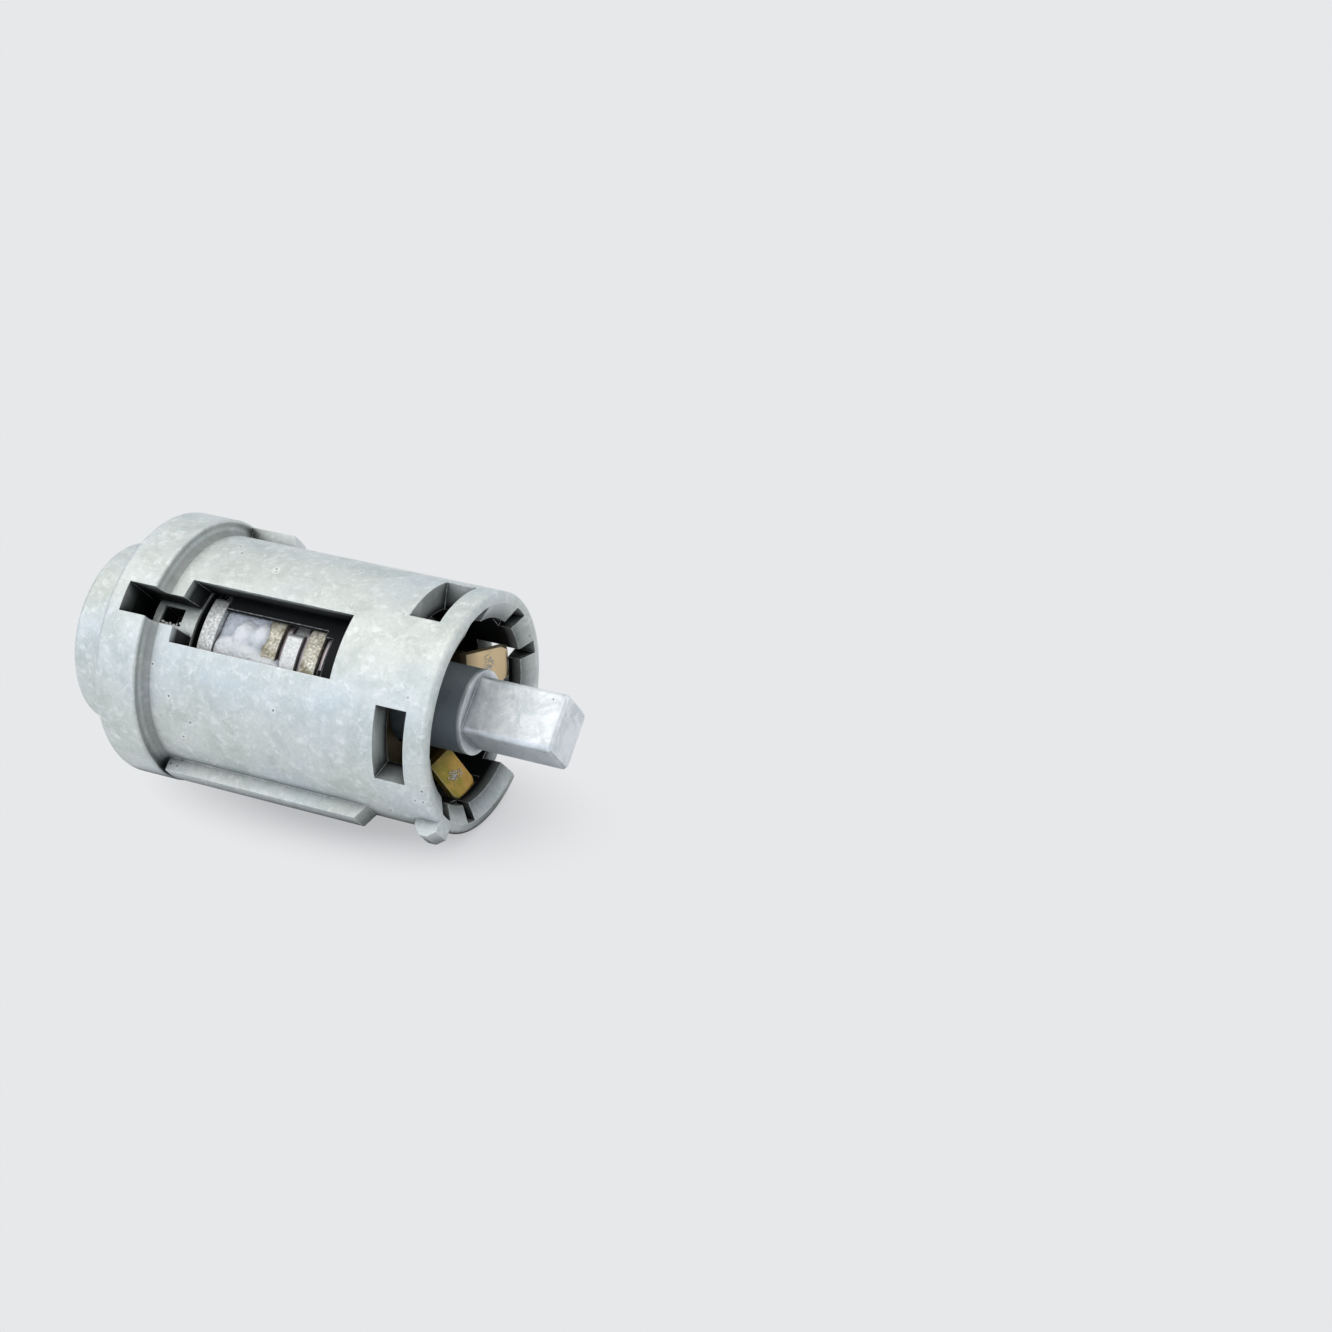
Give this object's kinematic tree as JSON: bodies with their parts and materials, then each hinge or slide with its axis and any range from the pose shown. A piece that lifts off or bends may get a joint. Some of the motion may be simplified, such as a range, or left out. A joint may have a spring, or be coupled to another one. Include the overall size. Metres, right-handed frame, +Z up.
{
  "type": "lock barrel",
  "caption": "Die-cast lock barrel with turning discs, a sidebar, a sprung keyway flap and a rectangular drive tail at the rear.",
  "frame": {"origin": "on the barrel's axis, at the rear shoulder of the flange", "axes": "+X along the barrel from the keyway to the tail, +Z up with the barrel lying as in the picture"},
  "size_m": [0.0523, 0.028, 0.028],
  "materials": {
    "zinc_casting": "as cast, mottled satin",
    "tail_casting": "dull satin",
    "stainless_sheet": "pressed, bright",
    "steel_pin": "ground",
    "spring_wire": "drawn",
    "nickel_plate": "stamped",
    "disc_brass": "stamped edges",
    "yellow_passivated_steel": "yellow passivated"
  },
  "bodies": {
    "housing": {"barrel_housing": "zinc_casting", "retaining_clip": "yellow_passivated_steel", "thrust_washer": "steel_pin"},
    "plug": {"plug": "zinc_casting", "face_cap": "stainless_sheet", "shutter_pin": "steel_pin", "shutter_spring": "spring_wire", "pack_washer": "nickel_plate", "tail_driver": "tail_casting", "sidebar_spring_front": "spring_wire", "sidebar_spring_rear": "spring_wire", "spacer_1": "nickel_plate", "spacer_2": "nickel_plate", "spacer_3": "nickel_plate", "spacer_4": "nickel_plate", "spacer_5": "nickel_plate"},
    "sidebar": {"sidebar": "steel_pin"},
    "shutter": {"keyway_shutter": "stainless_sheet"},
    "disc_1": {"disc_1": "disc_brass"},
    "disc_2": {"disc_2": "disc_brass"},
    "disc_3": {"disc_3": "disc_brass"},
    "disc_4": {"disc_4": "disc_brass"},
    "disc_5": {"disc_5": "disc_brass"},
    "disc_6": {"disc_6": "disc_brass"}
  },
  "joints": [
    {"name": "plug_turn", "type": "hinge", "parent": "housing", "child": "plug", "pos_m": [0, 0, 0], "axis": [1, 0, 0], "range_deg": [0, 100]},
    {"name": "sidebar_slide", "type": "slide", "parent": "plug", "child": "sidebar", "axis": [0, -0.6494, 0.7604], "range_m": [0, 0.00095], "deforming": ["sidebar_spring_front", "sidebar_spring_rear"]},
    {"name": "shutter_swing", "type": "hinge", "parent": "plug", "child": "shutter", "pos_m": [-0.00923, -0.00305, 0.00357], "axis": [0, -0.7604, -0.6494], "range_deg": [0, 88], "stiffness_Nm_per_rad": 0.0002, "springref_deg": -28.65, "deforming": ["shutter_spring"]},
    {"name": "disc_1_turn", "type": "hinge", "parent": "plug", "child": "disc_1", "pos_m": [0.00475, 0, 0], "axis": [1, 0, 0], "range_deg": [-12, 0]},
    {"name": "disc_2_turn", "type": "hinge", "parent": "plug", "child": "disc_2", "pos_m": [0.0071, 0, 0], "axis": [1, 0, 0], "range_deg": [-36, 0]},
    {"name": "disc_3_turn", "type": "hinge", "parent": "plug", "child": "disc_3", "pos_m": [0.00945, 0, 0], "axis": [1, 0, 0], "range_deg": [-48, 0]},
    {"name": "disc_4_turn", "type": "hinge", "parent": "plug", "child": "disc_4", "pos_m": [0.0118, 0, 0], "axis": [1, 0, 0], "range_deg": [-12, 0]},
    {"name": "disc_5_turn", "type": "hinge", "parent": "plug", "child": "disc_5", "pos_m": [0.01415, 0, 0], "axis": [1, 0, 0], "range_deg": [-24, 0]},
    {"name": "disc_6_turn", "type": "hinge", "parent": "plug", "child": "disc_6", "pos_m": [0.0165, 0, 0], "axis": [1, 0, 0], "range_deg": [-12, 0]}
  ],
  "couplings": [
    {"joint": "sidebar_slide", "follows": "plug_turn", "m_per_rad": 0.00054431}
  ]
}
